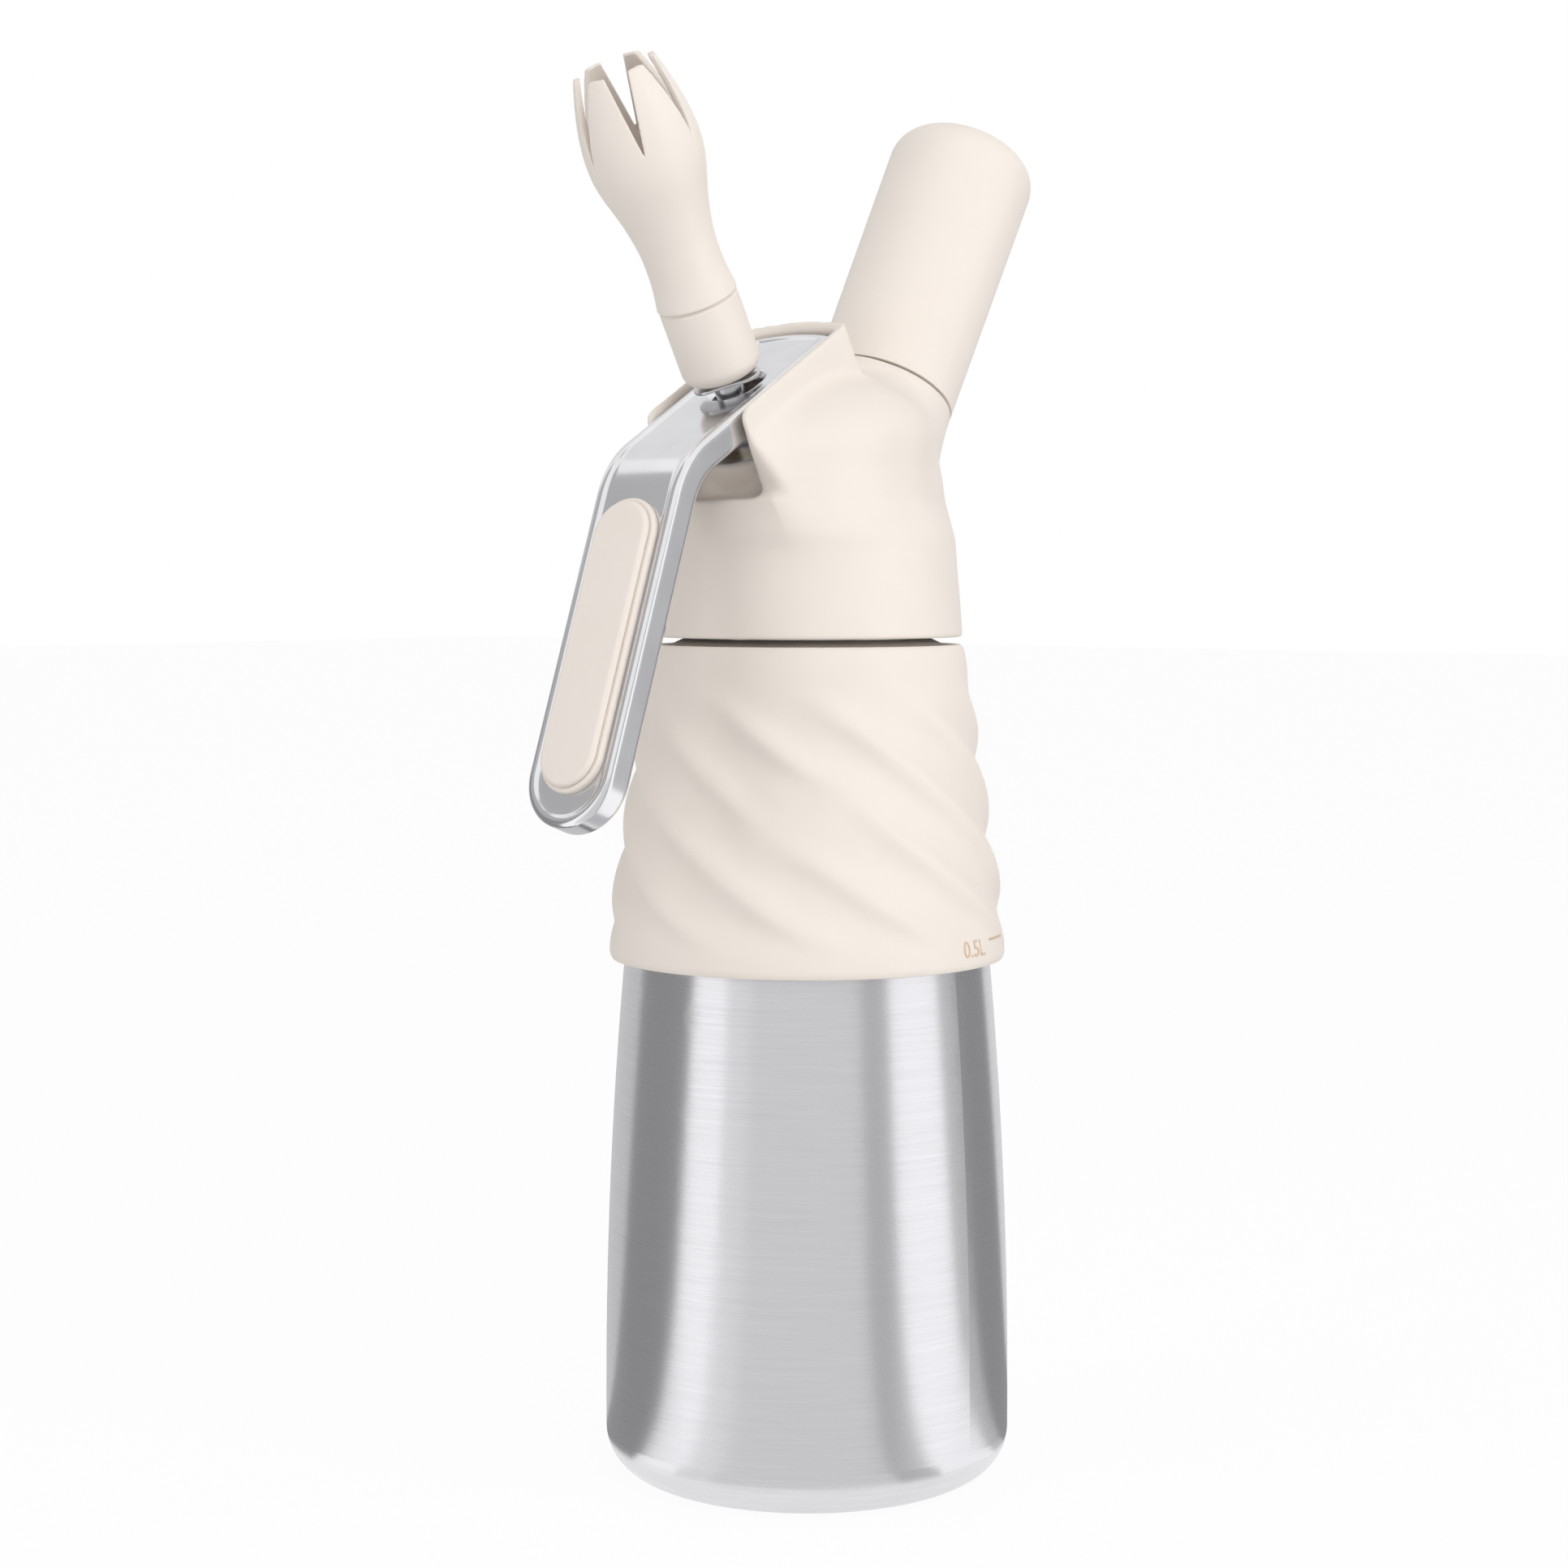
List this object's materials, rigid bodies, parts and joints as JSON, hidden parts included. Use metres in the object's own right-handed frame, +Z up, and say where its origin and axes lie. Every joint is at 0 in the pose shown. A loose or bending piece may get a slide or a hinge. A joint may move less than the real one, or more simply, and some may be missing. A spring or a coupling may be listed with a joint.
{
  "type": "whipped cream dispenser",
  "caption": "Hand-held pressurised cream whipper: steel bottle with grip sleeve, screw-on head, squeeze lever, tulip nozzle and screw-on gas charger holder.",
  "frame": {"origin": "centre of the circle on which the bottle stands, on the floor", "axes": "+Z up along the bottle, -Y towards the lever and the nozzle, +Y towards the gas charger holder, +X across"},
  "size_m": [0.0822, 0.1401, 0.2803],
  "materials": {
    "steel_shell": "fine brushed lines around the bottle",
    "soft_grip": "matte cream silicone",
    "core_metal": "turned",
    "seal_rubber": "matte",
    "cream_plastic": "satin moulded cream",
    "polished_metal": "polished",
    "pad_plastic": "satin",
    "valve_steel": "turned",
    "brass_turned": "turned",
    "spring_steel": "drawn wire",
    "charger_steel": "plated"
  },
  "bodies": {
    "bottle_body": {"bottle": "steel_shell", "grip_sleeve": "soft_grip"},
    "gasket_body": {"head_gasket": "seal_rubber"},
    "head_body": {"head_core": "core_metal", "head_shell": "cream_plastic", "lever_pin": "valve_steel", "valve_guide": "brass_turned", "stem_ring": "seal_rubber", "inlet_plug": "brass_turned", "piercing_pin": "valve_steel", "charger_seal": "seal_rubber", "valve_spring": "spring_steel", "check_spring": "spring_steel"},
    "lever_body": {"lever": "polished_metal", "lever_pad_base": "pad_plastic", "lever_pad": "soft_grip"},
    "valve_body": {"valve_stem": "valve_steel", "stem_cross_pin": "valve_steel", "valve_seal": "seal_rubber", "stem_clip": "valve_steel", "tip_adapter": "cream_plastic"},
    "tip_body": {"tulip_tip": "cream_plastic"},
    "charger_body": {"gas_charger": "charger_steel"},
    "holder_body": {"charger_holder": "cream_plastic", "holder_liner": "core_metal"},
    "check_body": {"check_poppet": "seal_rubber"}
  },
  "joints": [
    {"name": "head_lift", "type": "slide", "parent": "bottle_body", "child": "gasket_body", "axis": [0, 0, 1], "range_m": [0, 0.0181]},
    {"name": "head_turn", "type": "hinge", "parent": "gasket_body", "child": "head_body", "pos_m": [0, 0, 0.19], "axis": [0, 0, 1], "range_deg": [0, 1620]},
    {"name": "lever_squeeze", "type": "hinge", "parent": "head_body", "child": "lever_body", "pos_m": [0, -0.00654, 0.22314], "axis": [1, 0, 0], "range_deg": [0, 8], "stiffness_Nm_per_rad": 1.2, "springref_deg": -1.72},
    {"name": "valve_stroke", "type": "slide", "parent": "head_body", "child": "valve_body", "axis": [0, 0.5, -0.866], "range_m": [0, 0.0025], "deforming": ["valve_spring"]},
    {"name": "tip_pull", "type": "slide", "parent": "valve_body", "child": "tip_body", "axis": [0, -0.5, 0.866], "range_m": [0, 0.012]},
    {"name": "charger_lift", "type": "slide", "parent": "head_body", "child": "charger_body", "axis": [0, 0.5, 0.866], "range_m": [0, 0.0091]},
    {"name": "holder_turn", "type": "hinge", "parent": "charger_body", "child": "holder_body", "pos_m": [0, 0.04, 0.24608], "axis": [0, 0.5, 0.866], "range_deg": [0, 2160]},
    {"name": "check_stroke", "type": "slide", "parent": "head_body", "child": "check_body", "axis": [0, -0.5, -0.866], "range_m": [0, 0.001], "stiffness_N_per_m": 60, "springref_m": -0.0005, "deforming": ["check_spring"]}
  ],
  "couplings": [
    {"joint": "head_lift", "follows": "head_turn", "m_per_rad": 0.00063662},
    {"joint": "valve_stroke", "follows": "lever_squeeze", "m_per_rad": 0.0175},
    {"joint": "charger_lift", "follows": "holder_turn", "m_per_rad": 0.00023873}
  ]
}
